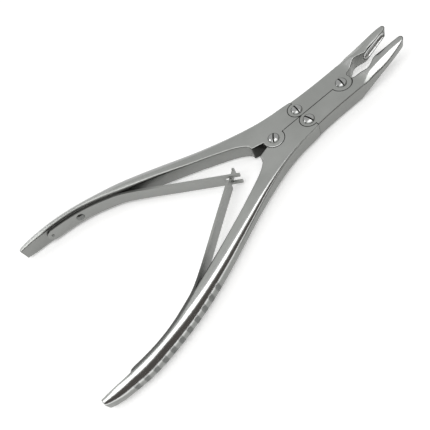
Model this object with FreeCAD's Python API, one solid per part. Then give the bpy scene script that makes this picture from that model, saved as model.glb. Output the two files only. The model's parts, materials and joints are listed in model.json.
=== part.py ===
import FreeCAD, Part
import math
import os
from FreeCAD import Vector

# Double-action bone rongeur, in millimetres, drawn open as it rests.
# While it is drawn, the rear pivot stands on the origin, +Y points to the jaw tips,
# +X to the right-hand side and +Z up through the pivots. Each right-hand piece is the
# mirror image of the left-hand one, apart from which of the two carries the ears.

# Flat stock that the box joints are cut from
box_thickness = 9.3
ear_thickness = 3.0
side_play = 0.05
ring_play = 0.28
seam_gap = 0.28
rim_gap = 0.06

# Pivot places
link_x = 5.17
link_y = 21.2
front_pivot_y = 49.6
rear_ear_radius = 6.1
link_ear_radius = 5.1
front_ear_radius = 6.0
tongue_inset = 0.4
outer_seam_y = 21.9
corner_relief = 1.75
ground_flat_end_y = 45.0

# Pivot screws and their nuts
shank_radius = 2.0
bore_play = 0.04
head_radius = 3.3
head_rim = 0.3
head_dome = 0.95
slot_width = 0.85
slot_depth = 0.9
thread_radius = 1.25
nut_seat_depth = 0.7
nut_socket_depth = 0.55
nut_slot_depth = 0.5
thread_end_gap = 0.05
slot_angles = {"rear_pivot": 143.0, "front_pivot": 170.0, "left_link": 171.0, "right_link": 12.0}

# Jaws: plan view
jaw_rear_x = 12.05
jaw_waist_x = 11.2
jaw_waist_y = 44.0
jaw_shoulder_y = 57.0
neck_start_angle = 13.0
neck_bulge_x = 5.5
neck_bulge_y = 64.0
rim_heel_y = 73.0
rim_angle = 7.7
jaw_nose_inset = 2.9
jaw_nose_power = 3.0
tip_y = 88.9
tip_x = 6.9
waist_hollow = 0.2
neck_rise = 4.2
heel_set_back = (0.85, 3.9)
toe_set_back = 1.9
nose_set_back = 3.0

# Jaws: side view
ramp_start_y = 55.5
rim_tip_top = 15.6
sole_start_y = 53.5
sole_tip_z = 10.0
rim_rise_shares = [
    (0.0, 0.0), (0.09, 0.06), (0.175, 0.24), (0.255, 0.39), (0.34, 0.455), (0.44, 0.51),
    (0.62, 0.645), (0.81, 0.83), (1.0, 1.0), (1.1, 1.08),
]
sole_rise_shares = [
    (0.0, 0.0), (0.17, 0.16), (0.35, 0.39), (0.53, 0.56), (0.72, 0.74), (1.0, 1.0), (1.1, 1.1),
]

# Jaws: bevels, as the place along the jaw and the shares of the full width and drop there.
# Behind the ramp they are no more than a broken edge.
edge_break = 0.3
bevel_width = 3.5
bevel_drop = 1.9
bevel_stations = [
    (57.0, 0.25, 0.2), (60.0, 0.6, 0.56), (64.0, 0.9, 0.9), (68.0, 1.0, 1.0),
    (72.0, 1.0, 0.93), (77.0, 0.88, 0.72), (81.0, 0.68, 0.48), (85.0, 0.38, 0.22), (88.0, 0.13, 0.07),
    (92.0, 0.04, 0.02),
]
bevel_overrun = 1.0
sole_bevel = 1.3
sole_bevel_stations = [(54.0, 0.02), (60.0, 0.6), (68.0, 1.0), (80.0, 1.0), (93.0, 1.0)]

# Jaws: cups
cup_heel_radius = 3.35
cup_toe_radius = 2.5
cup_heel_y = 69.6
cup_heel_length = 5.6
cup_toe_y = 87.9
cup_axis_offset = 0.75

# Handles: inner face behind the pivot
gap_wall_angle = 16.0
gap_depth_y = 12.8
gap_shelf_x = 6.5
gap_shelf_slope = 0.3
inner_face_points = [
    (9.0, 15.4), (14.3, 23.6), (22.3, 40.3), (32.1, 62.6), (41.8, 86.5),
    (48.6, 104.0), (51.8, 119.0), (52.9, 132.0), (53.7, 152.5),
]

# Handles: cross-sections from the box to the end of the grip, as
# distance behind the pivot, outer reach, height, and the width and height of the round corners
grip_sections = [
    (-26.0, 11.3, 9.6, 0.7, 0.7),
    (-10.0, 13.9, 9.6, 0.8, 0.8),
    (6.0, 17.3, 9.6, 1.3, 1.3),
    (22.0, 23.1, 9.5, 2.3, 2.3),
    (40.0, 30.5, 9.15, 3.2, 3.0),
    (60.0, 39.0, 9.7, 4.0, 3.8),
    (80.0, 47.2, 10.9, 4.6, 4.8),
    (98.0, 53.4, 12.2, 5.6, 5.8),
    (114.0, 57.6, 12.7, 6.2, 6.1),
    (128.0, 59.6, 11.8, 6.4, 5.7),
    (139.0, 58.9, 9.6, 5.0, 4.6),
    (146.0, 57.1, 8.9, 3.4, 3.2),
    (150.0, 55.9, 7.8, 1.9, 2.2),
    (151.2, 55.4, 7.2, 1.3, 1.7),
]

# How far the cross-sections run inwards, past the inner wall that trims them
section_width = 24.0

# Rounding of the grip's inner edges, as the distance behind the pivot and the depth;
# across the grip it reaches further than it is deep
rounding_spread = 1.8
inner_rounding = [
    (36.0, 0.1), (48.0, 0.4), (60.0, 0.8), (72.0, 1.2), (86.0, 1.5), (100.0, 1.6), (114.0, 1.6),
    (126.0, 1.5), (136.0, 1.3), (144.0, 1.0), (150.0, 0.7), (155.0, 0.5),
]
rounding_overrun = 3.0

# Finger flutes across the back of the grip
flute_count = 11
flute_first_y = 75.5
flute_pitch = 5.85
flute_radius = 2.7
flute_depth = 0.55

# Leaf springs
leaf_thickness = 1.3
leaf_width = 8.4
leaf_play = 0.08
leaf_clamped_steps = 10
leaf_rear_y = 134.0
leaf_leaves_y = 88.0
leaf_root = (36.4, 79.6)
leaf_cross_y = 32.0
leaf_tip_length = 5.8
leaf_free_shares = (0.4, 0.75)
fork_slot_width = 4.3
tongue_width = 3.5
tongue_head_width = 5.4
tongue_head_length = 1.1
fork_neck_length = 3.0

# Spring screws and locating pins
spring_screw_y = 111.4
spring_head_radius = 2.3
spring_head_rim = 0.25
spring_head_dome = 0.75
spring_shank_radius = 1.2
spring_shank_length = 4.6
spring_slot_width = 0.55
spring_slot_depth = 0.4
spring_slot_turn = 35.0
spring_head_play = 0.04
pin_y = 131.0
pin_radius = 0.8
pin_length = 3.6
pin_proud = 0.25
drill_play = 0.02
hole_end_gap = 0.2

# Worked out from the sizes above
mid_z = box_thickness / 2
tongue_bottom = ear_thickness + side_play
tongue_top = box_thickness - ear_thickness - side_play
below = -20.0
above = 40.0
far = 200.0
quarter_arc_pull = 0.5523
half_quarter = math.sqrt(0.5)


def cylinder(x, y, radius, bottom, top):
    return Part.makeCylinder(radius, top - bottom, Vector(x, y, bottom))


def block(x0, x1, y0, y1, bottom, top):
    return Part.makeBox(x1 - x0, y1 - y0, top - bottom, Vector(x0, y0, bottom))


def ear_layers(x, y, radius):
    """Discs through all the stock below a tongue and all the stock above it."""
    lower = cylinder(x, y, radius, below, tongue_bottom)
    upper = cylinder(x, y, radius, tongue_top, above)
    return lower.fuse(upper)


def ears(x, y, radius):
    lower = cylinder(x, y, radius, 0, ear_thickness)
    upper = cylinder(x, y, radius, box_thickness - ear_thickness, box_thickness)
    return lower.fuse(upper)


def tongue(x, y, radius):
    return cylinder(x, y, radius, tongue_bottom, tongue_top)


def tongue_slot(x, y, radius):
    return cylinder(x, y, radius, ear_thickness, box_thickness - ear_thickness)


def spline(points, first_tangent=None, last_tangent=None):
    curve = Part.BSplineCurve()
    if first_tangent is None:
        curve.interpolate(points)
    else:
        curve.interpolate(Points=points, InitialTangent=first_tangent, FinalTangent=last_tangent)
    return curve


def lines(points):
    return [Part.LineSegment(a, b).toShape() for a, b in zip(points, points[1:])]


def prism(edges, bottom, top):
    wire = Part.Wire(Part.__sortEdges__(edges))
    face = Part.Face(wire)
    return face.extrude(Vector(0, 0, top - bottom))


def mirrored(shape):
    return shape.mirror(Vector(0, 0, 0), Vector(1, 0, 0))


def one_solid(shape):
    """The single solid of a shape, with coplanar faces joined."""
    clean = shape.removeSplitter()
    solids = sorted(clean.Solids, key=lambda solid: solid.Volume)
    return solids[-1]


def at_height(curve, y, low, high):
    """The point and direction of a plan curve where it passes y, between two parameters."""
    for _ in range(48):
        middle = (low + high) / 2
        if curve.value(middle).y > y:
            low = middle
        else:
            high = middle
    return curve.value(low), Vector(*curve.tangent(low)[0])


def inner_face_curve():
    """The handle's inner wall in plan, from the shelf behind the pivot to the end of the grip."""
    start = Vector(gap_shelf_x, -gap_depth_y - gap_shelf_slope, 0)
    points = [start] + [Vector(x, -y, 0) for x, y in inner_face_points]
    return spline(points)


inner_face = inner_face_curve()
inner_face_end_y = inner_face.value(inner_face.LastParameter).y


def inner_wall(y):
    """The inner wall's point at y, and the outward direction from it towards the other handle."""
    point, along = at_height(inner_face, y, inner_face.FirstParameter, inner_face.LastParameter)
    normal = Vector(along.y, -along.x, 0)
    if normal.x > 0:
        normal = -normal
    return point, normal.normalize()


def grip_section(behind, reach, height, corner_x, corner_z):
    """One cross-section of the handle: square on its inner side, round on its outer side."""
    y = -behind
    inside = reach - section_width
    low = mid_z - height / 2
    high = mid_z + height / 2
    pull_x = Vector(corner_x * quarter_arc_pull, 0, 0)
    pull_z = Vector(0, 0, corner_z * quarter_arc_pull)
    a = Vector(inside, y, low)
    b = Vector(reach - corner_x, y, low)
    c = Vector(reach, y, low + corner_z)
    d = Vector(reach, y, high - corner_z)
    e = Vector(reach - corner_x, y, high)
    f = Vector(inside, y, high)
    lower_corner = Part.BezierCurve()
    lower_corner.setPoles([b, b + pull_x, c - pull_z, c])
    upper_corner = Part.BezierCurve()
    upper_corner.setPoles([d, d + pull_z, e + pull_x, e])
    return Part.Wire([
        Part.LineSegment(a, b).toShape(),
        lower_corner.toShape(),
        Part.LineSegment(c, d).toShape(),
        upper_corner.toShape(),
        Part.LineSegment(e, f).toShape(),
        Part.LineSegment(f, a).toShape(),
    ])


def grip_height(behind):
    """The grip's full height at a distance behind the pivot."""
    heights = spline([Vector(s[2], -s[0], 0) for s in grip_sections])
    return at_height(heights, -behind, heights.FirstParameter, heights.LastParameter)[0].x


def inner_rounding_cutters():
    """What is taken off to round the grip's upper and lower inner edges."""
    cutters = []
    for side in (1, -1):
        sections = []
        for behind, depth in inner_rounding:
            spread = depth * rounding_spread
            y = -behind
            wall = inner_wall(max(y, inner_face_end_y))[0].x
            edge_z = mid_z + side * grip_height(min(behind, grip_sections[-1][0])) / 2
            beyond = wall - rounding_overrun
            over = edge_z + side * rounding_overrun
            foot = Vector(wall, y, edge_z - side * depth)
            crown = Vector(wall + spread, y, edge_z)
            pull_x = Vector(spread * (1 - quarter_arc_pull), 0, 0)
            pull_z = Vector(0, 0, side * depth * (1 - quarter_arc_pull))
            arc = Part.BezierCurve()
            corner = Vector(wall, y, edge_z)
            arc.setPoles([foot, corner - pull_z, corner + pull_x, crown])
            edges = [arc.toShape()]
            edges += lines([crown, Vector(crown.x, y, over), Vector(beyond, y, over),
                            Vector(beyond, y, foot.z), foot])
            sections.append(Part.Wire(edges))
        cutters.append(Part.makeLoft(sections, True, False))
    return cutters


def gap_between_handles():
    """All that lies on the other side of a right-hand handle's mating face and inner wall."""
    wall_foot = Vector(seam_gap / 2 + gap_depth_y * math.tan(math.radians(gap_wall_angle)), -gap_depth_y, 0)
    start = inner_face.value(inner_face.FirstParameter)
    end = inner_face.value(inner_face.LastParameter)
    front = Vector(seam_gap / 2, far, 0)
    pivot = Vector(seam_gap / 2, 0, 0)
    edges = lines([front, pivot, wall_foot, start])
    edges.append(inner_face.toShape())
    edges += lines([end, Vector(end.x, -far, 0), Vector(-far, -far, 0), Vector(-far, far, 0), front])
    gap = prism(edges, below, above)
    gap.translate(Vector(0, 0, below))
    return gap


def flutes():
    """Upright cylinders that scoop the finger flutes out of the back of the grip."""
    reach = spline([Vector(s[1], -s[0], 0) for s in grip_sections])
    scoops = []
    for step in range(flute_count):
        y = -(flute_first_y + step * flute_pitch)
        point, along = at_height(reach, y, reach.FirstParameter, reach.LastParameter)
        outward = Vector(-along.y, along.x, 0)
        if outward.x < 0:
            outward = -outward
        centre = point + outward.normalize() * (flute_radius - flute_depth)
        scoops.append(cylinder(centre.x, centre.y, flute_radius, below, above))
    return scoops


def handle_blank():
    """A right-hand handle before its rear pivot is cut, with its link tongue."""
    body = Part.makeLoft([grip_section(*section) for section in grip_sections], True, False)
    body = body.cut(block(-far, far, -ground_flat_end_y, far, box_thickness, above))
    body = body.cut(block(-far, far, -ground_flat_end_y, far, below, 0))
    body = body.cut(gap_between_handles())
    body = body.cut(block(-far, far, outer_seam_y, far, below, above))
    body = body.cut(block(-far, link_x, link_y - corner_relief, far, below, above))
    body = body.cut(ear_layers(link_x, link_y, link_ear_radius + ring_play))
    body = body.fuse(tongue(link_x, link_y, link_ear_radius - tongue_inset))
    body = body.cut(cylinder(link_x, link_y, shank_radius + bore_play, below, above))
    for cutter in inner_rounding_cutters() + flutes():
        body = body.cut(cutter)
    point, normal = inner_wall(-spring_screw_y)
    body = body.cut(drilled_hole(point, normal, spring_shank_radius + drill_play, spring_shank_length))
    point, normal = inner_wall(-pin_y)
    body = body.cut(drilled_hole(point, normal, pin_radius + drill_play, pin_length))
    return body


def drilled_hole(point, normal, radius, depth):
    start = Vector(point.x, point.y, mid_z) + normal * 1.0
    return Part.makeCylinder(radius, depth + 1.0, start, -normal)


def left_handle():
    body = mirrored(handle_blank())
    body = body.cut(tongue_slot(0, 0, rear_ear_radius - tongue_inset + ring_play))
    body = body.fuse(ears(0, 0, rear_ear_radius))
    body = body.cut(cylinder(0, 0, shank_radius + bore_play, below, above))
    return one_solid(body)


def right_handle():
    body = handle_blank()
    body = body.cut(ear_layers(0, 0, rear_ear_radius + ring_play))
    body = body.fuse(tongue(0, 0, rear_ear_radius - tongue_inset))
    body = body.cut(cylinder(0, 0, shank_radius + bore_play, below, above))
    return one_solid(body)


def rim_x(y):
    """The cutting rim in plan: it lies on the centre plane once the jaw has closed."""
    return rim_gap / 2 + (y - front_pivot_y) * math.tan(math.radians(rim_angle))


def outer_x(y):
    """The jaw's outer side in plan: hollow behind the waist, straight to the shoulder, then narrowing."""
    if y < jaw_waist_y:
        back_share = (jaw_waist_y - y) / (jaw_waist_y - outer_seam_y - seam_gap)
        spread = (jaw_rear_x - jaw_waist_x) * back_share
        return jaw_waist_x + spread - 4 * waist_hollow * back_share * (1 - back_share)
    share = max(0.0, (y - jaw_shoulder_y) / (tip_y - jaw_shoulder_y))
    return jaw_waist_x - jaw_nose_inset * share ** jaw_nose_power


def jaw_plan():
    """The jaw's outline seen from above, as a prism through all heights."""
    half_seam = seam_gap / 2
    rear = outer_seam_y + seam_gap
    neck_angle = math.radians(neck_start_angle)
    neck_start = Vector(front_ear_radius * math.sin(neck_angle),
                        front_pivot_y + front_ear_radius * math.cos(neck_angle), 0)
    heel = Vector(rim_x(rim_heel_y), rim_heel_y, 0)
    toe_y = tip_y - toe_set_back
    toe = Vector(rim_x(toe_y), toe_y, 0)
    tip = Vector(tip_x, tip_y, 0)
    nose = Vector(outer_x(tip_y - nose_set_back), tip_y - nose_set_back, 0)
    shoulder = Vector(jaw_waist_x, jaw_shoulder_y, 0)
    waist = Vector(jaw_waist_x, jaw_waist_y, 0)
    rear_inner_y = link_y + seam_gap
    rim_way = (toe - heel).normalize()
    neck_way = Vector(math.cos(neck_angle), math.sin(neck_angle), 0)
    neck = spline([neck_start,
                   Vector((neck_start.x + neck_bulge_x) / 2, neck_start.y + neck_rise, 0),
                   Vector(neck_bulge_x, neck_bulge_y, 0),
                   heel + Vector(heel_set_back[0], -heel_set_back[1], 0),
                   heel], neck_way, rim_way)
    side_ys = [jaw_shoulder_y + (nose.y - jaw_shoulder_y) * i / 4 for i in range(5)]
    side = spline([Vector(outer_x(y), y, 0) for y in side_ys])
    side_end = Vector(*side.tangent(side.LastParameter)[0])
    tip_round = spline([nose, tip, toe], side_end, -rim_way)
    back_ys = [jaw_waist_y + (rear - jaw_waist_y) * i / 4 for i in range(5)]
    back = spline([Vector(outer_x(y), y, 0) for y in back_ys])
    edges = lines([Vector(half_seam, front_pivot_y, 0), neck_start])
    edges.append(neck.toShape())
    edges += lines([heel, toe])
    edges.append(tip_round.toShape())
    edges.append(side.toShape())
    edges += lines([shoulder, waist])
    edges.append(back.toShape())
    edges += lines([Vector(outer_x(rear), rear, 0), Vector(link_x, rear, 0), Vector(link_x, rear_inner_y, 0),
                    Vector(half_seam, rear_inner_y, 0), Vector(half_seam, front_pivot_y, 0)])
    plan = prism(edges, below, above)
    plan.translate(Vector(0, 0, below))
    return plan


def top_curve():
    """The top in side view: off the box's flat in a soft ramp, then up the rim to past the tip."""
    climb = rim_tip_top - box_thickness
    run = tip_y - ramp_start_y
    points = [Vector(0, ramp_start_y + run * s, box_thickness + climb * r) for s, r in rim_rise_shares]
    return spline(points, Vector(0, 1, 0), (points[-1] - points[-2]).normalize())


def sole_curve():
    """The jaw's underside in side view, from the flat of the box to past the tip."""
    run = tip_y - sole_start_y
    return spline([Vector(0, sole_start_y + run * s, sole_tip_z * r) for s, r in sole_rise_shares])


def height_on(curve, y):
    """The height of a side-view curve at y."""
    low = curve.FirstParameter
    high = curve.LastParameter
    for _ in range(40):
        middle = (low + high) / 2
        if curve.value(middle).y < y:
            low = middle
        else:
            high = middle
    return curve.value(low).z


top_line = top_curve()
sole_line = sole_curve()


def rim_height(y):
    if y <= ramp_start_y:
        return box_thickness
    return height_on(top_line, y)


def sole_height(y):
    if y <= sole_start_y:
        return 0.0
    return height_on(sole_line, y)


def jaw_profile():
    """The jaw's outline seen from the side, as a prism across the whole width."""
    top_start = top_line.value(top_line.FirstParameter)
    top_end = top_line.value(top_line.LastParameter)
    sole_start = sole_line.value(sole_line.FirstParameter)
    sole_end = sole_line.value(sole_line.LastParameter)
    rear = outer_seam_y - 10.0
    edges = lines([sole_start, Vector(0, rear, 0), Vector(0, rear, box_thickness), top_start])
    edges.append(top_line.toShape())
    edges += lines([top_end, sole_end])
    edges.append(sole_line.toShape())
    face = Part.Face(Part.Wire(Part.__sortEdges__(edges)))
    profile = face.extrude(Vector(60, 0, 0))
    profile.translate(Vector(-20, 0, 0))
    return profile


def bevel_section(y, width, drop):
    """The wedge that a bevel of this width and drop takes off, at y along the jaw."""
    top = rim_height(y)
    outer = outer_x(y)
    slope = drop / width
    inner_corner = Vector(outer - width - bevel_overrun, y, top + slope * bevel_overrun)
    return Part.makePolygon([
        inner_corner,
        Vector(outer + bevel_overrun, y, top - drop - slope * bevel_overrun),
        Vector(outer + bevel_overrun, y, above),
        Vector(inner_corner.x, y, above),
        inner_corner,
    ])


def bevel_cutters():
    """The broken edge beside the box, and the bevel that grows out of it along the jaw."""
    first = outer_seam_y - bevel_overrun
    last = ramp_start_y - bevel_overrun
    back_ys = [first + (last - first) * i / 6 for i in range(7)]
    back = [bevel_section(y, edge_break, edge_break) for y in back_ys]
    front = [back[-1]]
    front += [bevel_section(y, bevel_width * w, bevel_drop * d) for y, w, d in bevel_stations]
    return [Part.makeLoft(back, True, True), Part.makeLoft(front, True, False)]


def sole_bevel_cutter():
    """A narrower bevel on the underside's outer edge."""
    sections = []
    for y, share in sole_bevel_stations:
        sole = sole_height(min(y, tip_y + 2.0))
        outer = outer_x(min(y, tip_y))
        size = sole_bevel * share
        reach = 3.0
        sections.append(Part.makePolygon([
            Vector(outer - size, y, sole),
            Vector(outer + reach, y, sole + size + reach),
            Vector(outer + reach, y, sole - 8.0),
            Vector(outer - size, y, sole - 8.0),
            Vector(outer - size, y, sole),
        ]))
    return Part.makeLoft(sections, True, True)


def cup():
    """The gouge hollow: a tapered spindle with round ends, its axis just inside the rim's plane."""
    ends = []
    for y in (cup_heel_y, cup_toe_y):
        ends.append(Vector(rim_x(y) - cup_axis_offset, y, (rim_height(y) + sole_height(y)) / 2))
    heel, toe = ends
    axis = toe - heel
    length = axis.Length
    toe_side = Vector(cup_toe_radius * half_quarter, 0, length - cup_toe_radius * (1 - half_quarter))
    heel_shoulder = Vector(cup_heel_radius, 0, cup_heel_length)
    heel_round = Part.BezierCurve()
    heel_round.setPoles([Vector(0, 0, 0), Vector(cup_heel_radius * quarter_arc_pull, 0, 0),
                         heel_shoulder - Vector(0, 0, cup_heel_length * quarter_arc_pull), heel_shoulder])
    toe_round = Part.Arc(Vector(cup_toe_radius, 0, length - cup_toe_radius), toe_side, Vector(0, 0, length))
    edges = [heel_round.toShape()]
    edges += lines([heel_shoulder, Vector(cup_toe_radius, 0, length - cup_toe_radius)])
    edges.append(toe_round.toShape())
    edges += lines([Vector(0, 0, length), Vector(0, 0, 0)])
    face = Part.Face(Part.Wire(edges))
    spindle = face.revolve(Vector(0, 0, 0), Vector(0, 0, 1), 360)
    turn = FreeCAD.Rotation(Vector(0, 0, 1), axis)
    spindle.Placement = FreeCAD.Placement(heel, turn)
    return spindle


def jaw_blank():
    """A right-hand jaw with the ears that take its link tongue, before the front pivot is cut."""
    body = jaw_plan().common(jaw_profile())
    for cutter in bevel_cutters():
        body = body.cut(cutter)
    body = body.cut(sole_bevel_cutter())
    body = body.cut(cup())
    slot_radius = link_ear_radius - tongue_inset + ring_play
    body = body.cut(tongue_slot(link_x, link_y, slot_radius))
    body = body.cut(block(-far, link_x, link_y, link_y + slot_radius, ear_thickness,
                          box_thickness - ear_thickness))
    body = body.fuse(ears(link_x, link_y, link_ear_radius))
    body = body.cut(cylinder(link_x, link_y, shank_radius + bore_play, below, above))
    return body


def left_jaw():
    body = mirrored(jaw_blank())
    body = body.cut(tongue_slot(0, front_pivot_y, front_ear_radius - tongue_inset + ring_play))
    body = body.fuse(ears(0, front_pivot_y, front_ear_radius))
    body = body.cut(cylinder(0, front_pivot_y, shank_radius + bore_play, below, above))
    return one_solid(body)


def right_jaw():
    body = jaw_blank()
    body = body.cut(ear_layers(0, front_pivot_y, front_ear_radius + ring_play))
    body = body.fuse(tongue(0, front_pivot_y, front_ear_radius - tongue_inset))
    body = body.cut(cylinder(0, front_pivot_y, shank_radius + bore_play, below, above))
    return one_solid(body)


def domed_head(radius, rim, dome, groove_width, groove_depth):
    """A slotted head that stands on z = 0 with its dome up."""
    edges = lines([Vector(0, 0, 0), Vector(radius, 0, 0), Vector(radius, 0, rim)])
    sphere = (radius ** 2 + dome ** 2) / (2 * dome)
    half_turn = math.asin(radius / sphere) / 2
    crown_middle = Vector(sphere * math.sin(half_turn), 0, rim + dome - sphere * (1 - math.cos(half_turn)))
    edges.append(Part.Arc(Vector(radius, 0, rim), crown_middle, Vector(0, 0, rim + dome)).toShape())
    edges += lines([Vector(0, 0, rim + dome), Vector(0, 0, 0)])
    head = Part.Face(Part.Wire(edges)).revolve(Vector(0, 0, 0), Vector(0, 0, 1), 360)
    top = rim + dome
    groove = block(-radius - 1, radius + 1, -groove_width / 2, groove_width / 2, top - groove_depth, top + 1)
    return head.cut(groove)


def pivot_screw(x, y, slot_angle):
    """A screw with its head on the upper ear, its shank through the joint and its end in the nut."""
    screw = domed_head(head_radius, head_rim, head_dome, slot_width, slot_depth)
    screw.rotate(Vector(0, 0, 0), Vector(0, 0, 1), slot_angle)
    screw.translate(Vector(0, 0, box_thickness))
    screw = screw.fuse(cylinder(0, 0, shank_radius, nut_seat_depth, box_thickness))
    screw = screw.fuse(cylinder(0, 0, thread_radius, thread_end_gap - nut_socket_depth, nut_seat_depth))
    screw.translate(Vector(x, y, 0))
    return one_solid(screw)


def pivot_nut(x, y, slot_angle):
    """The slotted, domed nut under the lower ear, with its collar in the ear's bore."""
    nut = domed_head(head_radius, head_rim, head_dome, slot_width, nut_slot_depth)
    nut.rotate(Vector(0, 0, 0), Vector(1, 0, 0), 180)
    nut.rotate(Vector(0, 0, 0), Vector(0, 0, 1), slot_angle)
    nut = nut.fuse(cylinder(0, 0, shank_radius, 0, nut_seat_depth))
    nut = nut.cut(cylinder(0, 0, thread_radius + drill_play, -nut_socket_depth, nut_seat_depth + 1))
    nut.translate(Vector(x, y, 0))
    return one_solid(nut)


def leaf_line():
    """The leaf's middle line in plan: along the handle's inner wall, then across to the other leaf."""
    standing = leaf_play + leaf_thickness / 2
    points = []
    clamped = leaf_rear_y - leaf_leaves_y
    for step in range(leaf_clamped_steps + 1):
        wall, normal = inner_wall(-(leaf_rear_y - clamped * step / leaf_clamped_steps))
        points.append(wall + normal * standing)
    root = Vector(leaf_root[0], -leaf_root[1], 0)
    crossing = Vector(0, -leaf_cross_y, 0)
    free = crossing - root
    points.append(root)
    points += [root + free * share for share in leaf_free_shares]
    points.append(crossing)
    points.append(crossing + free.normalize() * leaf_tip_length)
    return spline(points), points


def beside(curve, points, distance):
    """A curve that runs beside another at a distance."""
    moved = []
    for point in points:
        along = Vector(*curve.tangent(curve.parameter(point))[0])
        moved.append(point + Vector(-along.y, along.x, 0).normalize() * distance)
    return spline(moved)


def leaf_blank():
    """A right-hand leaf, drilled for its screw and pin, before its end is cut."""
    middle, points = leaf_line()
    one_side = beside(middle, points, leaf_thickness / 2)
    other_side = beside(middle, points, -leaf_thickness / 2)
    first = [curve.value(curve.FirstParameter) for curve in (one_side, other_side)]
    last = [curve.value(curve.LastParameter) for curve in (one_side, other_side)]
    edges = [one_side.toShape(), other_side.toShape()]
    edges += lines(first) + lines(last)
    leaf = prism(edges, 0, leaf_width)
    leaf.translate(Vector(0, 0, mid_z - leaf_width / 2))
    for y, radius in ((spring_screw_y, spring_shank_radius), (pin_y, pin_radius)):
        point, normal = inner_wall(-y)
        leaf = leaf.cut(drilled_hole(point + normal * 2, normal, radius + drill_play, 4.0))
    return leaf.cut(leaf_end_corners())


def leaf_end_corners():
    """What is cut away to round the leaf's rear end in side view."""
    radius = leaf_width / 2
    point, normal = inner_wall(-leaf_rear_y)
    along = Vector(-normal.y, normal.x, 0)
    if along.y < 0:
        along = -along
    centre = Vector(point.x, point.y, mid_z) + along * radius - normal * 5
    square = Part.makeBox(10, 2 * radius + 2, 2 * radius + 2, Vector(0, -radius - 1, -radius - 1))
    square = square.cut(Part.makeBox(10, 2 * radius + 2, 2 * radius + 2, Vector(0, 0, -radius - 1)))
    corners = square.cut(Part.makeCylinder(radius, 10, Vector(0, 0, 0), Vector(1, 0, 0)))
    turn = FreeCAD.Rotation(normal, along, Vector(0, 0, 1), "XYZ")
    corners.Placement = FreeCAD.Placement(centre, turn)
    return corners


def along_leaf_end(start, length, bottom, top):
    """A block round the end of a right-hand leaf, from start past the crossing."""
    root = Vector(leaf_root[0], -leaf_root[1], 0)
    way = (Vector(0, -leaf_cross_y, 0) - root).normalize()
    piece = Part.makeBox(6, length, top - bottom, Vector(-3, 0, 0))
    angle = math.degrees(math.atan2(way.y, way.x)) - 90
    piece.rotate(Vector(0, 0, 0), Vector(0, 0, 1), angle)
    piece.translate(Vector(0, -leaf_cross_y, bottom) + way * start)
    return piece


def left_leaf_spring():
    """The forked leaf: two prongs, one above and one below the other leaf's tongue."""
    slot = along_leaf_end(-fork_neck_length, 20, mid_z - fork_slot_width / 2, mid_z + fork_slot_width / 2)
    return one_solid(mirrored(leaf_blank().cut(slot)))


def right_leaf_spring():
    """The tongued leaf: a narrow end with a small cross-head, between the prongs."""
    leaf = leaf_blank()
    neck = leaf_tip_length - tongue_head_length + fork_neck_length
    for width, start, length in ((tongue_width, -fork_neck_length, neck),
                                 (tongue_head_width, neck - fork_neck_length, 10)):
        leaf = leaf.cut(along_leaf_end(start, length, below, mid_z - width / 2))
        leaf = leaf.cut(along_leaf_end(start, length, mid_z + width / 2, above))
    return one_solid(leaf)


def facing(shape, point, normal):
    """Stands a shape that was drawn along +Z on a point of the inner wall, at mid height."""
    turn = FreeCAD.Rotation(Vector(0, 0, 1), normal)
    shape.Placement = FreeCAD.Placement(Vector(point.x, point.y, mid_z), turn)
    return shape


def spring_screw():
    head = domed_head(spring_head_radius, spring_head_rim, spring_head_dome,
                      spring_slot_width, spring_slot_depth)
    head.rotate(Vector(0, 0, 0), Vector(0, 0, 1), spring_slot_turn)
    seat = leaf_play + leaf_thickness + spring_head_play
    head.translate(Vector(0, 0, seat))
    depth = spring_shank_length - hole_end_gap
    shank = Part.makeCylinder(spring_shank_radius, depth + seat, Vector(0, 0, -depth))
    point, normal = inner_wall(-spring_screw_y)
    return facing(head.fuse(shank).removeSplitter(), point, normal)


def spring_pin():
    seat = leaf_play + leaf_thickness
    depth = pin_length - hole_end_gap
    pin = Part.makeCylinder(pin_radius, depth + seat + pin_proud, Vector(0, 0, -depth))
    point, normal = inner_wall(-pin_y)
    return facing(pin, point, normal)


def all_pieces():
    pieces = {
        "left_handle": left_handle(),
        "right_handle": right_handle(),
        "left_jaw": left_jaw(),
        "right_jaw": right_jaw(),
        "left_leaf_spring": left_leaf_spring(),
        "right_leaf_spring": right_leaf_spring(),
        "right_spring_screw": one_solid(spring_screw()),
        "left_spring_screw": one_solid(mirrored(spring_screw())),
        "right_spring_pin": one_solid(spring_pin()),
        "left_spring_pin": one_solid(mirrored(spring_pin())),
    }
    pivots = {
        "rear_pivot": (0, 0),
        "front_pivot": (0, front_pivot_y),
        "left_link": (-link_x, link_y),
        "right_link": (link_x, link_y),
    }
    for name, (x, y) in pivots.items():
        pieces[name + "_screw"] = pivot_screw(x, y, slot_angles[name])
        pieces[name + "_nut"] = pivot_nut(x, y, -slot_angles[name])
    return pieces


def footprint_centre(pieces):
    """The middle of the overall box, at its lowest height."""
    box = Part.makeCompound(list(pieces.values())).optimalBoundingBox()
    return Vector(0, (box.YMin + box.YMax) / 2, box.ZMin)


os.makedirs("parts", exist_ok=True)
model = all_pieces()
origin = footprint_centre(model)
for node, shape in model.items():
    shape.translate(-origin)
    shape.exportStep("parts/" + node + ".step")
    print(node, "valid", shape.isValid(), "volume %.1f" % shape.Volume, "faces", len(shape.Faces))
print("rear pivot in the part's frame: %.4f %.4f %.4f" % (-origin.x, -origin.y, -origin.z))
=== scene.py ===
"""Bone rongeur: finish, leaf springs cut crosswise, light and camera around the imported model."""
import json
import math

import bmesh
import bpy
from mathutils import Matrix, Vector

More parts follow.
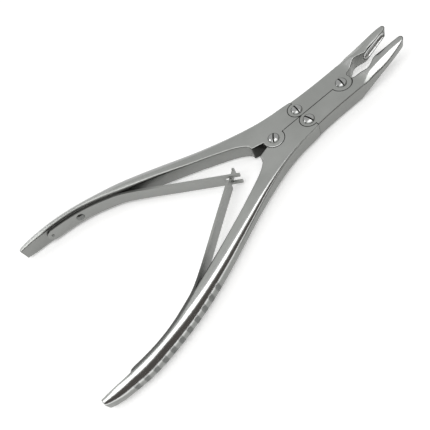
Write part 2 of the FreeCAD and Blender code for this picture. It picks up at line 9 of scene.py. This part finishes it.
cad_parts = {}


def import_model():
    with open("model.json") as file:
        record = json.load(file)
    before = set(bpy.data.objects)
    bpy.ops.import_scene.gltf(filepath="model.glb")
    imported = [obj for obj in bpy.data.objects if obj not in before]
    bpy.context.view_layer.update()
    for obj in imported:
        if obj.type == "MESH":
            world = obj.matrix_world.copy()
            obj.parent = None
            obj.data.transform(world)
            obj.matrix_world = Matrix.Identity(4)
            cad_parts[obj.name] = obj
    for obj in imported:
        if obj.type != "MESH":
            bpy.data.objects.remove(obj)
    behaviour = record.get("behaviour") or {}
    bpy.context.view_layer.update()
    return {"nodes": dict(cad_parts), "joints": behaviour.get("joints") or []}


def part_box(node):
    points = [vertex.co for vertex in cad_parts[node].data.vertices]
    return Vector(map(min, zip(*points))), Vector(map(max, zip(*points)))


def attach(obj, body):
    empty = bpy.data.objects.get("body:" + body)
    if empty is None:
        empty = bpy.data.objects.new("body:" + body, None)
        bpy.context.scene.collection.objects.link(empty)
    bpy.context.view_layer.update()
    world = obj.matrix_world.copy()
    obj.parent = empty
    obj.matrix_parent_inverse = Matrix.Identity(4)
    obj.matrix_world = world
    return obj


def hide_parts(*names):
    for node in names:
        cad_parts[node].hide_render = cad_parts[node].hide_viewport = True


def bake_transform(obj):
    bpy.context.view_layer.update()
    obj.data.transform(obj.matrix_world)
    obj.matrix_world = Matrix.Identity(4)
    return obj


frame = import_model()

MM = 0.001

# The rear pivot, from the frame's joints
joints = {joint["name"]: joint for joint in frame["joints"]}
pivot = Vector(joints["handle_squeeze"]["pos_m"])

# Camera, fitted to the photograph
focal_px = 520.0
frame_px = 430.0
sensor_mm = 36.0
camera_place = Vector((168.823, -44.150, 235.552)) * MM
camera_right = Vector((0.5624693, 0.7668953, -0.3090304))
camera_up = Vector((-0.6045013, 0.6364250, 0.4791047))

# Finish: colours, among them painted shade on upright sides, in hollows, at edges and in gaps, and a lighter
# polished colour that is partly painted highlight; then the roughness of satin, jaws, heads, and of what is
# polished
satin_colour = (0.50, 0.51, 0.495, 1.0)
satin_colour_dark = (0.44, 0.45, 0.435, 1.0)
# Painted shade: upright faces of the handles and jaws take this darker colour
upright_shade_colour = (0.27, 0.275, 0.265, 1.0)
# Painted shade in the flutes and painted dark reflection on the heads' edges
painted_shade_colour = (0.13, 0.135, 0.13, 1.0)
# Lighter colour of polished places, partly painted highlight
polish_and_highlight_colour = (0.66, 0.665, 0.66, 1.0)
head_colour = (0.50, 0.505, 0.50, 1.0)
spring_colour = (0.46, 0.465, 0.45, 1.0)
# Painted shade: upright faces of the leaves take this darker colour
leaf_upright_shade_colour = (0.30, 0.305, 0.295, 1.0)
# Near black for grime in seams and for painted shade at edges, gaps, slots and seats
grime_and_shade_colour = (0.035, 0.035, 0.033, 1.0)
satin_rough = 0.30
jaw_rough = 0.28
head_rough = 0.17
satin_rough_spread = 0.06
head_rough_spread = 0.03
grip_shine = (0.13, 0.18)
jaw_shine = {"left": (0.22, 0.28), "right": (0.15, 0.20)}

# Grain of the ground steel: how fine it is across, along and down, and how deep
grain_scale = (9000.0, 500.0, 2500.0)
grain_depth = 0.02 * MM
satin_bump = 0.04
head_bump = 0.01

# Dark line of grime and painted shade beside a sharp edge: its reach, and how sharp the edge has to be
edge_reach = 0.33 * MM
edge_reach_jaw = 0.9 * MM
edge_clean = 0.992
edge_grimy = 0.91
# Reach of the painted dark reflection under the grips' outer edge
outer_line_reach = 1.1 * MM

# Radius of the worn edges
crisp_radius = 0.1 * MM
grip_radius = 1.3 * MM
jaw_radius = 1.5 * MM

# Painted shade in the flutes on the grips' outer sides: the first one's distance behind the pivot, and their
# pitch
first_flute = 75.5 * MM
flute_pitch = 5.85 * MM
flute_rows = 11
flute_half_width = 1.55 * MM

# Ring of painted shade around the head of a spring screw
head_shade_ring_radius = 2.3 * MM
head_shade_ring_width = 0.35 * MM

# Thickness of the box joint. The slots' floors and the feet of their walls lie above its top
box_thickness = 9.3 * MM
slot_floor_top = 0.5 * MM
slot_wall_foot = 0.36 * MM

# Grips, fuller than the frame's solids. The tables give the inner face and the reach from the
# middle, by the distance behind the pivot. A growth has where it starts, where it is whole, and
# how much it adds: millimetres of reach, or a share of the height from the pivot's level
inner_face = [
    (12.8, 6.5), (15.4, 9.0), (23.6, 14.3), (40.3, 22.3), (62.6, 32.1), (86.5, 41.8),
    (104.0, 48.6), (119.0, 51.8), (132.0, 52.9), (152.5, 53.7),
]
grip_reach = [
    (12.8, 19.6), (22.0, 23.1), (40.0, 30.5), (60.0, 39.0), (80.0, 47.2), (98.0, 53.4),
    (114.0, 57.6), (128.0, 59.6), (139.0, 58.9), (146.0, 57.1), (150.0, 55.9), (151.2, 55.4),
]
reach_growths = [(15.0, 75.0, 1.25), (75.0, 131.0, -1.25), (130.0, 150.0, 1.5)]
height_growths = [(30.0, 65.0, 0.10), (72.0, 104.0, -0.10), (120.0, 143.0, 0.20)]

# Leaves: how many slices each is cut into along its length
leaf_slices = 40

# Room light: pale to the left and overhead, dark beyond the soft light's right edge.
# The tone follows sky_rise * z - x + sky_shift, from 0 to sky_top
sky_rise = 0.35
sky_shift = 0.4
sky_top = 1.25
sky_stops = [
    (0.0, (0.10, 0.092, 0.085, 1.0)),
    (0.06, (0.12, 0.112, 0.105, 1.0)),
    (0.13, (0.24, 0.235, 0.225, 1.0)),
    (0.20, (0.40, 0.40, 0.39, 1.0)),
    (0.35, (0.56, 0.56, 0.55, 1.0)),
    (0.80, (0.58, 0.58, 0.572, 1.0)),
    (1.0, (0.60, 0.603, 0.598, 1.0)),
]

# Lamps: name, place, aim and size in metres, power in watts
lamps = [
    ("overhead", (0.17, -0.3, 0.9), (0.05, -0.1, 0.0), (0.62, 1.8), 6.0),
    ("key", (-0.72, -0.50, 0.90), (0.0, 0.0, 0.0), (0.28, 0.28), 0.8),
]

# Floor: half its side, its colour and roughness, and what it adds to its lit tone where it is seen
floor_half = 4.0
floor_colour = (0.93, 0.93, 0.93, 1.0)
floor_rough = 0.9
floor_glow = 0.30


def camera():
    data = bpy.data.cameras.new("camera")
    data.sensor_width = sensor_mm
    data.sensor_fit = "HORIZONTAL"
    data.lens = focal_px / frame_px * sensor_mm
    data.clip_start = 0.01
    data.clip_end = 20.0
    obj = bpy.data.objects.new("camera", data)
    bpy.context.collection.objects.link(obj)
    right = camera_right.normalized()
    back = right.cross(camera_up).normalized()
    up = back.cross(right)
    turn = Matrix((right, up, back)).transposed().to_4x4()
    obj.matrix_world = Matrix.Translation(camera_place) @ turn
    bpy.context.scene.camera = obj


class Nodes:
    """A small helper that builds the node tree of a material or world."""

    def __init__(self, owner):
        owner.use_nodes = True
        self.tree = owner.node_tree

    def add(self, kind, **settings):
        node = self.tree.nodes.new(kind)
        for key, value in settings.items():
            setattr(node, key, value)
        return node

    def feed(self, value, socket):
        """Give a socket a number or colour, or another node's output."""
        if isinstance(value, (int, float, tuple)):
            socket.default_value = value
        else:
            self.tree.links.new(value, socket)

    def math(self, operation, *values):
        node = self.add("ShaderNodeMath", operation=operation)
        for value, socket in zip(values, node.inputs):
            self.feed(value, socket)
        return node.outputs[0]

    def product(self, first, *others):
        for other in others:
            first = self.math("MULTIPLY", first, other)
        return first

    def dot(self, a, b):
        node = self.add("ShaderNodeVectorMath", operation="DOT_PRODUCT")
        self.feed(a, node.inputs[0])
        self.feed(b, node.inputs[1])
        return node.outputs["Value"]

    def split(self, vector):
        node = self.add("ShaderNodeSeparateXYZ")
        self.feed(vector, node.inputs[0])
        return node.outputs

    def ramp(self, value, low, high, to_low=0.0, to_high=1.0):
        node = self.add("ShaderNodeMapRange", interpolation_type="SMOOTHSTEP")
        settings = {"Value": value, "From Min": low, "From Max": high, "To Min": to_low, "To Max": to_high}
        for name, setting in settings.items():
            self.feed(setting, node.inputs[name])
        return node.outputs["Result"]

    def noise(self, vector, scale, detail, roughness=0.5):
        node = self.add("ShaderNodeTexNoise")
        settings = {"Vector": vector, "Scale": scale, "Detail": detail, "Roughness": roughness}
        for name, setting in settings.items():
            self.feed(setting, node.inputs[name])
        return node.outputs["Fac"]

    def mix(self, fac, a, b):
        node = self.add("ShaderNodeMix", data_type="RGBA")
        for value, socket in zip((fac, a, b), (node.inputs[0], node.inputs[6], node.inputs[7])):
            self.feed(value, socket)
        return node.outputs[2]

    def blend(self, fac, a, b):
        node = self.add("ShaderNodeMix", data_type="FLOAT")
        for value, socket in zip((fac, a, b), (node.inputs[0], node.inputs[2], node.inputs[3])):
            self.feed(value, socket)
        return node.outputs[0]

    def normal(self):
        return self.add("ShaderNodeNewGeometry").outputs["Normal"]

    def worn_normal(self, radius):
        """The surface's direction once its edges are rounded."""
        node = self.add("ShaderNodeBevel", samples=8)
        self.feed(radius, node.inputs["Radius"])
        return node.outputs["Normal"]


def steel(name, light, dark, rough, rough_spread, bump=satin_bump, side=None, polish_and_highlight_mask=None, shine=None,
          painted_shade_mask=None, grime_and_shade_masks=(), rounding=None):
    """Ground stainless steel: fine grain along one direction, faint cloudy tone and a few smudges, with
    painted shade on upright sides, in hollows and at marked places, and a lighter polished colour that is
    partly painted highlight.
    """
    material = bpy.data.materials.new(name)
    nodes = Nodes(material)
    place = nodes.add("ShaderNodeTexCoord").outputs["Object"]
    mapping = nodes.add("ShaderNodeMapping")
    nodes.feed(place, mapping.inputs["Vector"])
    nodes.feed(grain_scale, mapping.inputs["Scale"])
    grain = nodes.noise(mapping.outputs["Vector"], 1.0, detail=4.0, roughness=0.6)
    cloud = nodes.noise(place, 45.0, detail=3.0)
    smudge = nodes.noise(place, 140.0, detail=5.0, roughness=0.65)
    tone = nodes.math("ADD", nodes.product(cloud, 0.7), nodes.product(grain, 0.3))
    colour = nodes.mix(nodes.ramp(tone, 0.35, 0.65), dark, light)
    # Painted shade: upright faces turn to the darker side colour
    if side:
        colour = nodes.mix(nodes.ramp(facing_up(nodes), 0.15, 0.55, 1.0, 0.0), colour, side)
    roughness = nodes.math("ADD", nodes.ramp(smudge, 0.4, 0.7, rough, rough + rough_spread),
                           nodes.product(grain, rough_spread))
    # Real polish as lower roughness, with a lighter colour as painted highlight
    if polish_and_highlight_mask:
        mask = polish_and_highlight_mask(nodes, place)
        colour = nodes.mix(mask, colour, polish_and_highlight_colour)
        roughness = nodes.blend(mask, roughness, nodes.ramp(smudge, 0.4, 0.7, *shine))
    # Painted shade and painted dark reflection
    if painted_shade_mask:
        colour = nodes.mix(painted_shade_mask(nodes, place), colour, painted_shade_colour)
    # Grime and painted shade at edges, gaps, slots and seats
    for grime_and_shade_mask in grime_and_shade_masks:
        colour = nodes.mix(grime_and_shade_mask(nodes, place), colour, grime_and_shade_colour)
    bumps = nodes.add("ShaderNodeBump")
    nodes.feed(bump, bumps.inputs["Strength"])
    nodes.feed(grain_depth, bumps.inputs["Distance"])
    nodes.feed(grain, bumps.inputs["Height"])
    if rounding:
        nodes.feed(nodes.worn_normal(rounding(nodes, place)), bumps.inputs["Normal"])
    shader = nodes.tree.nodes["Principled BSDF"]
    nodes.feed(colour, shader.inputs["Base Color"])
    nodes.feed(roughness, shader.inputs["Roughness"])
    nodes.feed(bumps.outputs["Normal"], shader.inputs["Normal"])
    nodes.feed(1.0, shader.inputs["Metallic"])
    return material


def facing_up(nodes):
    """How far a surface faces up or down: 1 on the flats, 0 on upright walls."""
    return nodes.math("ABSOLUTE", nodes.split(nodes.normal())["Z"])


def outward(nodes, place, normal=None):
    """How far a surface faces away from the instrument's middle."""
    lean = nodes.split(nodes.normal() if normal is None else normal)["X"]
    return nodes.product(lean, nodes.math("SIGN", nodes.split(place)["X"]))


def fade(nodes, place, start, end, low=0.0, high=1.0):
    """A value that changes along the instrument, between two places in front of the pivot, in mm."""
    return nodes.ramp(nodes.split(place)["Y"], pivot.y + start * MM, pivot.y + end * MM, low, high)


def edge_line(nodes, place):
    """A thin dark line of grime and painted shade beside every sharp edge, wider along the jaws' bevels."""
    worn = nodes.worn_normal(fade(nodes, place, 50, 57, edge_reach, edge_reach_jaw))
    return nodes.ramp(nodes.dot(worn, nodes.normal()), edge_clean, edge_grimy)


def joint_edge_line(nodes, place):
    """The thin dark line of grime and painted shade at the box joint, which ends where the grips begin."""
    return nodes.product(edge_line(nodes, place), fade(nodes, place, -30, -10))


def handle_rounding(nodes, place):
    """The long edges are crisp at the joint and worn round on the grips."""
    return fade(nodes, place, 18, -14, crisp_radius, grip_radius)


def jaw_rounding(nodes, place):
    """The edges are crisp at the joint and in the cups, and worn round on the jaws' outer sides."""
    worn = fade(nodes, place, 50, 62, crisp_radius, jaw_radius)
    return nodes.product(worn, nodes.ramp(outward(nodes, place), -0.12, -0.02, 0.15, 1.0))


def crotch_shade(nodes, place):
    """Painted shade in the deep gap between the handles, behind the rear pivot."""
    near = nodes.ramp(nodes.math("ABSOLUTE", nodes.split(place)["X"]), 3.5 * MM, 5.5 * MM, 1.0, 0.0)
    behind = fade(nodes, place, -16, -12)
    upright = nodes.ramp(facing_up(nodes), 0.3, 0.6, 1.0, 0.0)
    return nodes.product(near, behind, upright)


def slot_shade(nodes, place):
    """Painted shade on the floor and the walls of the slots in the screw heads."""
    up = facing_up(nodes)
    height = nodes.split(place)["Z"]
    floor_top = pivot.z + box_thickness / 2 + slot_floor_top
    wall_foot = pivot.z + box_thickness / 2 + slot_wall_foot
    low = nodes.ramp(height, floor_top, floor_top + 0.05 * MM, 1.0, 0.0)
    floor_part = nodes.product(nodes.ramp(up, 0.97, 0.99), low)
    high = nodes.ramp(height, wall_foot, wall_foot + 0.02 * MM)
    wall_part = nodes.product(nodes.ramp(up, 0.2, 0.3, 1.0, 0.0), high)
    return nodes.math("MAXIMUM", floor_part, wall_part)


def grip_polish_and_highlight(nodes, place):
    """Polished along the handles' outer edge: a strip that widens to the grip's whole round; its lighter
    colour is painted highlight.
    """
    up = facing_up(nodes)
    round_part = nodes.product(nodes.ramp(up, 0.33, 0.48), nodes.ramp(up, 0.995, 0.999, 1.0, 0.0))
    outer = nodes.ramp(outward(nodes, place), -0.10, 0.0)
    grip = nodes.product(round_part, fade(nodes, place, -5, -25), outer)
    worn = nodes.worn_normal(handle_rounding(nodes, place))
    leaning = nodes.ramp(outward(nodes, place, worn), 0.02, 0.10)
    strip = nodes.product(leaning, nodes.ramp(up, 0.97, 0.99), fade(nodes, place, 16, 2))
    return nodes.math("MAXIMUM", grip, strip)


def outer_edge_dark_reflection(nodes, place):
    """Painted dark reflection under the outer edge, between the joint and the grip."""
    worn = nodes.split(nodes.worn_normal(outer_line_reach))["Z"]
    upright = nodes.ramp(facing_up(nodes), 0.3, 0.5, 1.0, 0.0)
    reach = nodes.product(fade(nodes, place, 16, 4, 0.0, 0.8), fade(nodes, place, -62, -42))
    outer = nodes.ramp(outward(nodes, place), 0.3, 0.5)
    return nodes.product(nodes.ramp(worn, 0.10, 0.35), upright, reach, outer)


def inner_edge_shade(nodes, place):
    """Painted shade along the grips' inner edges, as far as the leaves reach."""
    up = facing_up(nodes)
    sloped = nodes.product(nodes.ramp(up, 0.1, 0.3), nodes.ramp(up, 0.86, 0.95, 1.0, 0.0))
    reach = nodes.product(fade(nodes, place, -40, -60, 0.0, 0.8), fade(nodes, place, -138, -130))
    inner = nodes.ramp(outward(nodes, place), -0.25, -0.1, 1.0, 0.0)
    return nodes.product(sloped, reach, inner)


def flute_shade(nodes, place):
    """Painted shade in the hollows of the flutes."""
    behind = nodes.math("SUBTRACT", pivot.y - first_flute + flute_pitch / 2, nodes.split(place)["Y"])
    rows = nodes.math("DIVIDE", behind, flute_pitch)
    offset = nodes.math("ABSOLUTE", nodes.math("SUBTRACT", nodes.math("FRACT", rows), 0.5))
    half = flute_half_width / flute_pitch
    hollow = nodes.ramp(offset, half * 0.75, half * 1.15, 1.0, 0.0)
    first = nodes.math("GREATER_THAN", rows, 0.0)
    last = nodes.math("LESS_THAN", rows, float(flute_rows))
    upright = nodes.ramp(facing_up(nodes), 0.35, 0.6, 1.0, 0.0)
    outer = nodes.ramp(outward(nodes, place), 0.2, 0.4)
    return nodes.product(hollow, first, last, upright, outer, 0.85)


def head_edge_dark_reflection(nodes, _place):
    """Painted dark reflection on the steep outer part of a domed head, where it would mirror the dark of its
    seat.
    """
    return nodes.ramp(facing_up(nodes), 0.87, 0.92, 0.85, 0.0)


def head_shade_ring(nodes, place):
    """A ring of painted shade where the screw's head sits on the leaf."""
    low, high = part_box("left_spring_screw")
    centre = (Vector(low) + Vector(high)) / 2
    point = nodes.split(place)
    across = nodes.math("SUBTRACT", point["Y"], centre.y)
    up = nodes.math("SUBTRACT", point["Z"], centre.z)
    away = nodes.math("SQRT", nodes.math("ADD", nodes.product(across, across), nodes.product(up, up)))
    return nodes.ramp(away, head_shade_ring_radius, head_shade_ring_radius + head_shade_ring_width, 0.9, 0.0)


def leaf_edge_shade(nodes, place):
    """Painted shade on the leaf's upper edge, where the grip shades it."""
    return nodes.product(nodes.ramp(facing_up(nodes), 0.5, 0.8), fade(nodes, place, -60, -80, 0.0, 0.8))


def jaw_polish_and_highlight(side):
    """Polished in the cups, and on the bevel of the jaw that the light strikes; the lighter colour there is
    painted highlight.
    """
    def mask(nodes, place):
        up = facing_up(nodes)
        sloped = nodes.product(nodes.ramp(up, 0.02, 0.1), nodes.ramp(up, 0.97, 0.99, 1.0, 0.0))
        shine = nodes.product(sloped, fade(nodes, place, 57, 67))
        if side == "left":
            inward = nodes.ramp(nodes.split(nodes.normal())["X"], -0.15, -0.02)
            shine = nodes.product(shine, inward)
        return shine
    return mask


def finish_nodes():
    # Handles: painted shade on upright sides, in the flutes, along the edges and in the gap between them,
    # painted highlight on the polished round
    handle = steel("satin_steel_handle", satin_colour, satin_colour_dark, satin_rough, satin_rough_spread,
                   side=upright_shade_colour, polish_and_highlight_mask=grip_polish_and_highlight, shine=grip_shine, painted_shade_mask=flute_shade,
                   grime_and_shade_masks=(joint_edge_line, crotch_shade, inner_edge_shade, outer_edge_dark_reflection),
                   rounding=handle_rounding)
    # Screw heads: painted dark reflection on their steep edges, painted shade in the slots
    polished = steel("polished_steel", head_colour, head_colour, head_rough, head_rough_spread,
                     bump=head_bump, painted_shade_mask=head_edge_dark_reflection, grime_and_shade_masks=(slot_shade,))
    materials = {}
    for side in ("left", "right"):
        full_handle(side, handle)
        materials[side + "_handle"] = handle
        # Jaws: the right one's bevel, which the light strikes, gets painted highlight, the left one's does
        # not
        materials[side + "_jaw"] = steel("satin_steel_jaw_" + side, satin_colour, satin_colour_dark,
                                         jaw_rough, satin_rough_spread, side=upright_shade_colour,
                                         polish_and_highlight_mask=jaw_polish_and_highlight(side), shine=jaw_shine[side],
                                         grime_and_shade_masks=(edge_line,), rounding=jaw_rounding)
    for name, obj in frame["nodes"].items():
        material = materials.get(name, polished)
        if not obj.material_slots:
            obj.data.materials.append(material)
        for entry in obj.material_slots:
            entry.link = "OBJECT"
            entry.material = material


def copied(node, name, material):
    """A copy of a node's object, with its own mesh."""
    mesh = frame["nodes"][node].data.copy()
    mesh.materials.clear()
    mesh.materials.append(material)
    obj = bpy.data.objects.new(name, mesh)
    bpy.context.collection.objects.link(obj)
    return obj


def share(value, points):
    """Straight-line reading between points."""
    for (low, at_low), (high, at_high) in zip(points, points[1:]):
        if value <= high:
            part = max((value - low) / (high - low), 0.0)
            return at_low + (at_high - at_low) * part
    return points[-1][1]


def grown(behind, growths):
    """The sum of smooth growths, each from nothing where it starts to its whole amount."""
    total = 0.0
    for start, whole, amount in growths:
        part = min(max((behind - start) / (whole - start), 0.0), 1.0)
        total += amount * part * part * part * (part * (part * 6 - 15) + 10)
    return total


def fuller(point):
    """Where a point of the frame's grip lies on the fuller one."""
    x, y, z = point
    behind = (pivot.y - y) / MM
    if behind < inner_face[0][0]:
        return point
    inner = share(behind, inner_face)
    across = (abs(x) / MM - inner) / (share(behind, grip_reach) - inner)
    added = grown(behind, reach_growths) * min(max(across, 0.0), 1.0) * MM
    height = max(pivot.z + (z - pivot.z) * (1.0 + grown(behind, height_growths)), 0.0)
    return Vector((x + math.copysign(added, x), y, height))


def full_handle(side, material):
    """The handle with a fuller grip: its inner face stays where it is."""
    node = side + "_handle"
    piece = copied(node, side + "_handle_full", material)
    for vertex in piece.data.vertices:
        vertex.co = fuller(vertex.co)
    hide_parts(node)
    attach(piece, node)


def slice_across(piece, low, high):
    """Cut a piece's mesh crosswise many times so that it can bend."""
    work = bmesh.new()
    work.from_mesh(piece.data)
    for step in range(1, leaf_slices):
        y = low[1] + (high[1] - low[1]) * step / leaf_slices
        parts = list(work.verts) + list(work.edges) + list(work.faces)
        bmesh.ops.bisect_plane(work, geom=parts, plane_co=(0, y, 0), plane_no=(0, 1, 0))
    work.to_mesh(piece.data)
    work.free()


def leaf(side, material):
    """A leaf spring, copied from its node and cut crosswise; the node is hidden."""
    node = side + "_leaf_spring"
    piece = copied(node, side + "_leaf", material)
    slice_across(piece, *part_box(node))
    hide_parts(node)
    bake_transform(piece)


def leaves():
    # Leaves: painted shade on their upright sides, their upper edge and around the screw head
    material = steel("satin_spring_steel", spring_colour, satin_colour_dark, satin_rough, satin_rough_spread,
                     side=leaf_upright_shade_colour, grime_and_shade_masks=(leaf_edge_shade, head_shade_ring))
    for side in ("left", "right"):
        leaf(side, material)


def floor():
    """A pale floor that glows a little where the camera or a mirror sees it."""
    material = bpy.data.materials.new("floor")
    nodes = Nodes(material)
    shader = nodes.tree.nodes["Principled BSDF"]
    ray = nodes.add("ShaderNodeLightPath")
    seen = nodes.math("MAXIMUM", ray.outputs["Is Camera Ray"], ray.outputs["Is Glossy Ray"])
    nodes.feed(floor_colour, shader.inputs["Base Color"])
    nodes.feed(floor_rough, shader.inputs["Roughness"])
    nodes.feed(0.0, shader.inputs["Specular IOR Level"])
    nodes.feed((1.0, 1.0, 1.0, 1.0), shader.inputs["Emission Color"])
    nodes.feed(nodes.product(seen, floor_glow), shader.inputs["Emission Strength"])
    corners = [(-floor_half, -floor_half, 0), (floor_half, -floor_half, 0),
               (floor_half, floor_half, 0), (-floor_half, floor_half, 0)]
    mesh = bpy.data.meshes.new("floor")
    mesh.from_pydata(corners, [], [(0, 1, 2, 3)])
    mesh.materials.append(material)
    obj = bpy.data.objects.new("floor", mesh)
    bpy.context.collection.objects.link(obj)


def lamp(name, place, aim, size, power):
    """A flat lamp whose long side follows the instrument's length."""
    data = bpy.data.lights.new(name, "AREA")
    data.shape = "RECTANGLE"
    data.size, data.size_y = size
    data.energy = power
    obj = bpy.data.objects.new(name, data)
    bpy.context.collection.objects.link(obj)
    back = (Vector(place) - Vector(aim)).normalized()
    side = Vector((0.0, 1.0, 0.0)).cross(back).normalized()
    turn = Matrix((side, back.cross(side), back)).transposed().to_4x4()
    obj.matrix_world = Matrix.Translation(place) @ turn


def world():
    """Room light: pale to the left and overhead, dark beyond the soft light's right edge."""
    room = bpy.data.worlds.new("world")
    bpy.context.scene.world = room
    nodes = Nodes(room)
    place = nodes.add("ShaderNodeTexCoord").outputs["Generated"]
    scaled = nodes.add("ShaderNodeMapRange")
    nodes.feed(nodes.dot(place, (-1.0, 0.0, sky_rise)), scaled.inputs["Value"])
    nodes.feed(-sky_shift, scaled.inputs["From Min"])
    nodes.feed(sky_top - sky_shift, scaled.inputs["From Max"])
    tones = nodes.add("ShaderNodeValToRGB")
    stops = tones.color_ramp.elements
    stops[0].position, stops[0].color = sky_stops[0]
    stops[1].position, stops[1].color = sky_stops[-1]
    for position, colour in sky_stops[1:-1]:
        stops.new(position).color = colour
    nodes.feed(scaled.outputs["Result"], tones.inputs[0])
    nodes.feed(tones.outputs["Color"], nodes.tree.nodes["Background"].inputs["Color"])


camera()
finish_nodes()
leaves()
floor()
world()
for settings in lamps:
    lamp(*settings)
bpy.context.scene.view_settings.view_transform = "Standard"
